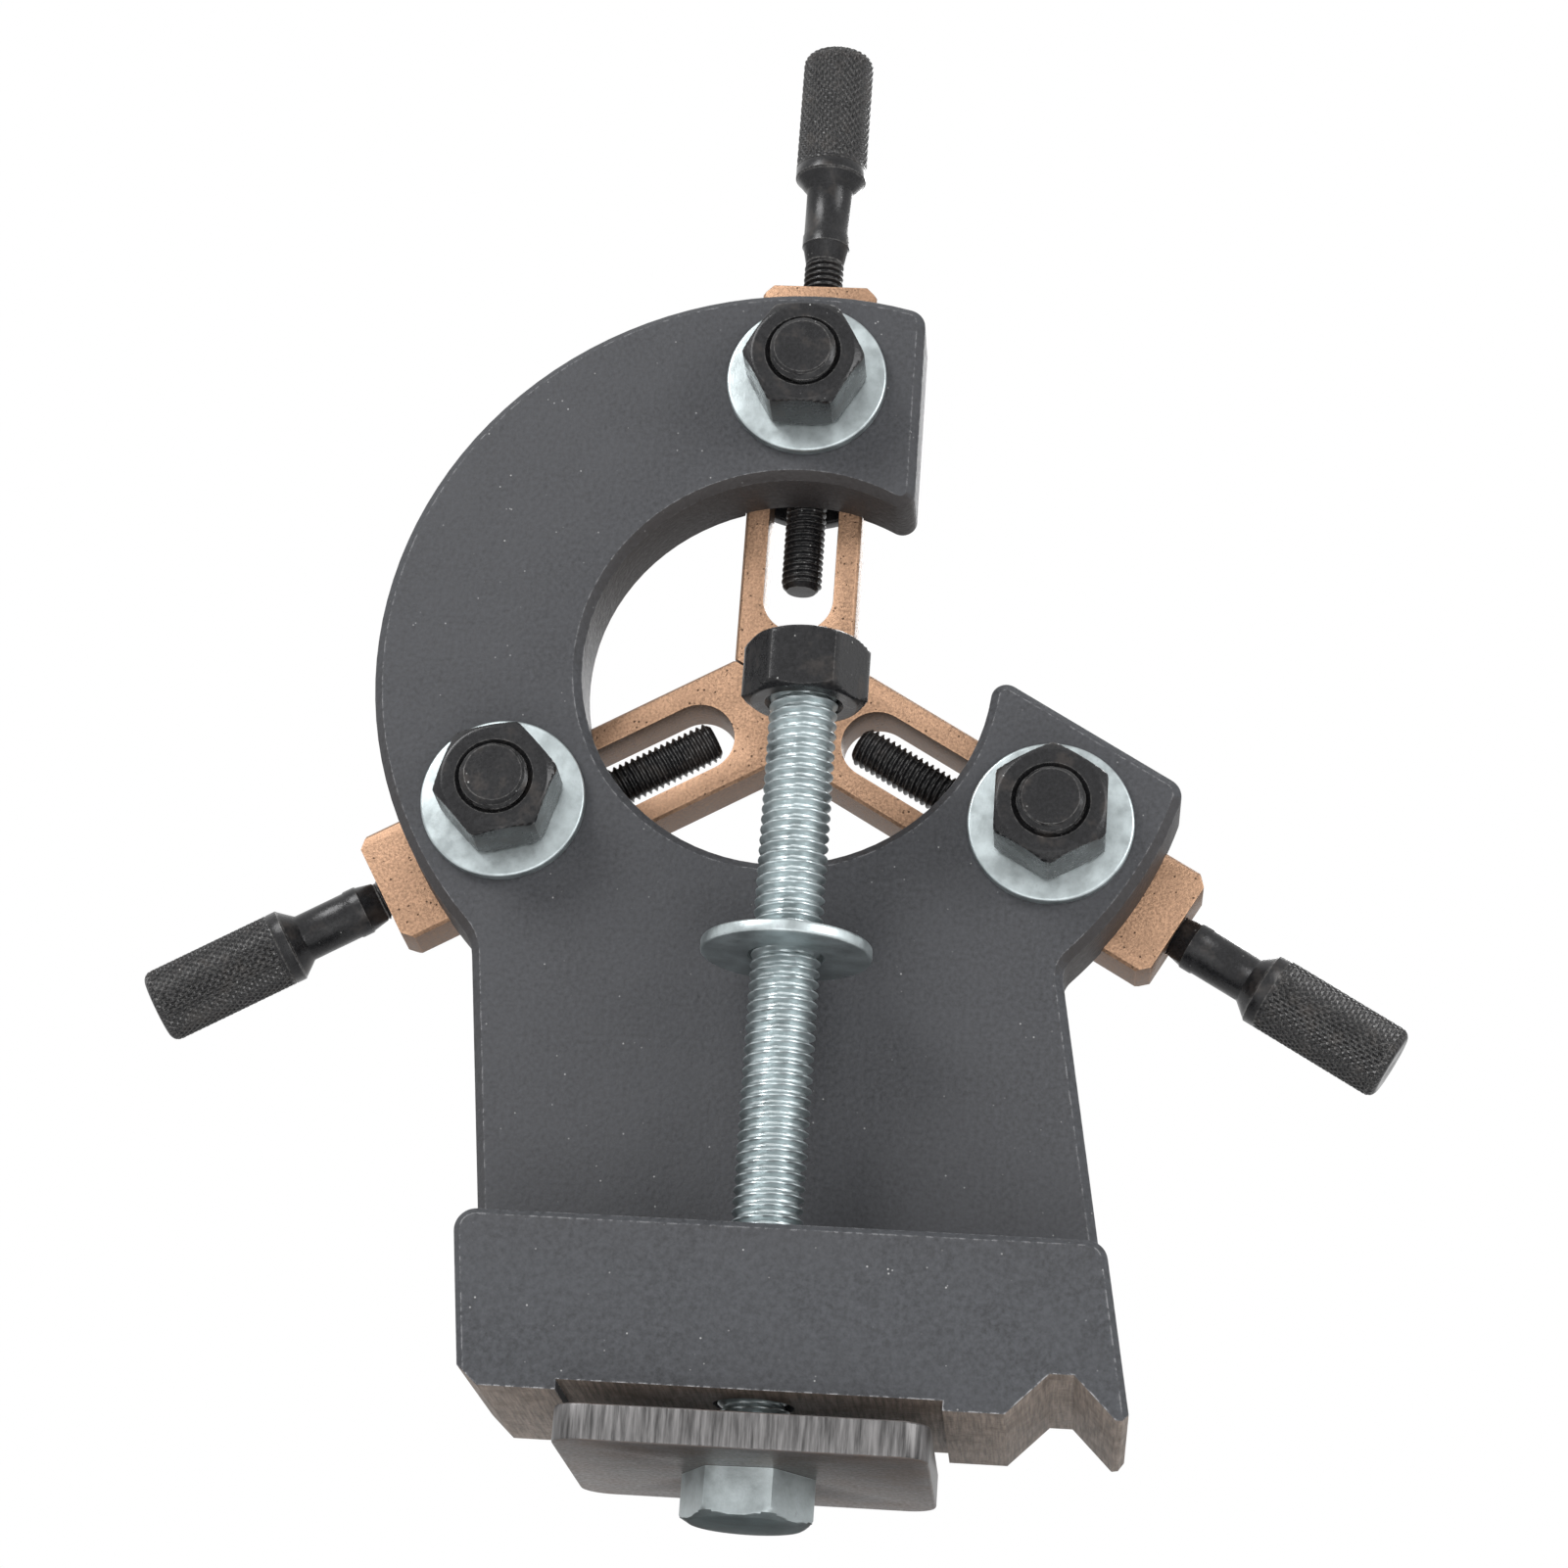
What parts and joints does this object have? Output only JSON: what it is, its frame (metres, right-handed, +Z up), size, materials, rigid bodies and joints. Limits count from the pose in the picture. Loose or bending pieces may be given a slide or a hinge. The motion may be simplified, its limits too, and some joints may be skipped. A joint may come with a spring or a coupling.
{
  "type": "steady rest",
  "caption": "Fixed steady rest for a small lathe: dark C-shaped casting with a vee-and-flat foot, bronze fingers, knurled adjusting screws and a hold-down bolt with clamp plate.",
  "frame": {"origin": "On the bed seat plane, straight below the work axis, in the plane of the casting's front face", "axes": "X across the bed, -Y towards the nut side (front), +Z up"},
  "size_m": [0.1508, 0.0507, 0.1935],
  "materials": {
    "cast_dark": "matte, fine as-cast grain",
    "bronze": "machined, fine grain",
    "black_oxide": "black oxide, semi-gloss",
    "zinc": "bright zinc plate",
    "bare_steel": "bare steel, sheared edges"
  },
  "bodies": {
    "frame": {"frame_casting": "cast_dark", "clamp_bolt_top": "black_oxide", "clamp_rear_washer_top": "black_oxide", "clamp_bolt_right": "black_oxide", "clamp_rear_washer_right": "black_oxide", "clamp_bolt_left": "black_oxide", "clamp_rear_washer_left": "black_oxide"},
    "finger_top_body": {"finger_top": "bronze"},
    "screw_top_body": {"adjusting_screw_top": "black_oxide"},
    "washer_top_body": {"clamp_washer_top": "zinc"},
    "nut_top_body": {"clamp_nut_top": "black_oxide"},
    "finger_right_body": {"finger_right": "bronze"},
    "screw_right_body": {"adjusting_screw_right": "black_oxide"},
    "washer_right_body": {"clamp_washer_right": "zinc"},
    "nut_right_body": {"clamp_nut_right": "black_oxide"},
    "finger_left_body": {"finger_left": "bronze"},
    "screw_left_body": {"adjusting_screw_left": "black_oxide"},
    "washer_left_body": {"clamp_washer_left": "zinc"},
    "nut_left_body": {"clamp_nut_left": "black_oxide"},
    "hold_bolt": {"hold_down_bolt": "zinc"},
    "hold_plate": {"hold_down_plate": "bare_steel"},
    "hold_washer": {"hold_down_washer": "zinc"},
    "hold_nut": {"hold_down_nut": "black_oxide"}
  },
  "joints": [
    {"name": "finger_top_slide", "type": "slide", "parent": "frame", "child": "finger_top_body", "axis": [0, 0, 1], "range_m": [0, 0.024]},
    {"name": "screw_top_turn", "type": "hinge", "parent": "finger_top_body", "child": "screw_top_body", "pos_m": [0, 0.01245, 0.142], "axis": [0, 0, 1], "range_deg": [0, 10800]},
    {"name": "washer_top_slide", "type": "slide", "parent": "frame", "child": "washer_top_body", "axis": [0, -1, 0], "range_m": [0, 0.00187]},
    {"name": "nut_top_turn", "type": "hinge", "parent": "washer_top_body", "child": "nut_top_body", "pos_m": [0, -0.005, 0.1294], "axis": [0, -1, 0], "range_deg": [0, 540]},
    {"name": "finger_right_slide", "type": "slide", "parent": "frame", "child": "finger_right_body", "axis": [0.866, 0, -0.5], "range_m": [0, 0.024]},
    {"name": "screw_right_turn", "type": "hinge", "parent": "finger_right_body", "child": "screw_right_body", "pos_m": [0.0433, 0.01245, 0.067], "axis": [0.866, 0, -0.5], "range_deg": [0, 10800]},
    {"name": "washer_right_slide", "type": "slide", "parent": "frame", "child": "washer_right_body", "axis": [0, -1, 0], "range_m": [0, 0.00187]},
    {"name": "nut_right_turn", "type": "hinge", "parent": "washer_right_body", "child": "nut_right_body", "pos_m": [0.03239, -0.005, 0.0733], "axis": [0, -1, 0], "range_deg": [0, 540]},
    {"name": "finger_left_slide", "type": "slide", "parent": "frame", "child": "finger_left_body", "axis": [-0.866, 0, -0.5], "range_m": [0, 0.024]},
    {"name": "screw_left_turn", "type": "hinge", "parent": "finger_left_body", "child": "screw_left_body", "pos_m": [-0.0433, 0.01245, 0.067], "axis": [-0.866, 0, -0.5], "range_deg": [0, 10800]},
    {"name": "washer_left_slide", "type": "slide", "parent": "frame", "child": "washer_left_body", "axis": [0, -1, 0], "range_m": [0, 0.00187]},
    {"name": "nut_left_turn", "type": "hinge", "parent": "washer_left_body", "child": "nut_left_body", "pos_m": [-0.03239, -0.005, 0.0733], "axis": [0, -1, 0], "range_deg": [0, 540]},
    {"name": "hold_down_nut_turn", "type": "hinge", "parent": "frame", "child": "hold_nut", "pos_m": [0.0033, -0.0105, 0.087], "axis": [0, 0, 1], "range_deg": [-630, 720]},
    {"name": "hold_down_bolt_lift", "type": "slide", "parent": "frame", "child": "hold_bolt", "axis": [0, 0, 1], "range_m": [-0.0025, 0.00219]},
    {"name": "clamp_plate_swivel", "type": "hinge", "parent": "hold_bolt", "child": "hold_plate", "pos_m": [0.0033, -0.0105, -0.0046], "axis": [0, 0, 1], "range_deg": [-90, 90]},
    {"name": "hold_down_washer_slide", "type": "slide", "parent": "frame", "child": "hold_washer", "axis": [0, 0, 1], "range_m": [-0.0328, 0.0285]}
  ],
  "couplings": [
    {"joint": "screw_top_turn", "follows": "finger_top_slide", "rad_per_m": 7854},
    {"joint": "nut_top_turn", "follows": "washer_top_slide", "rad_per_m": 5026.5},
    {"joint": "screw_right_turn", "follows": "finger_right_slide", "rad_per_m": 7854},
    {"joint": "nut_right_turn", "follows": "washer_right_slide", "rad_per_m": 5026.5},
    {"joint": "screw_left_turn", "follows": "finger_left_slide", "rad_per_m": 7854},
    {"joint": "nut_left_turn", "follows": "washer_left_slide", "rad_per_m": 5026.5},
    {"joint": "hold_down_nut_turn", "follows": "hold_down_bolt_lift", "rad_per_m": -5026.5}
  ]
}
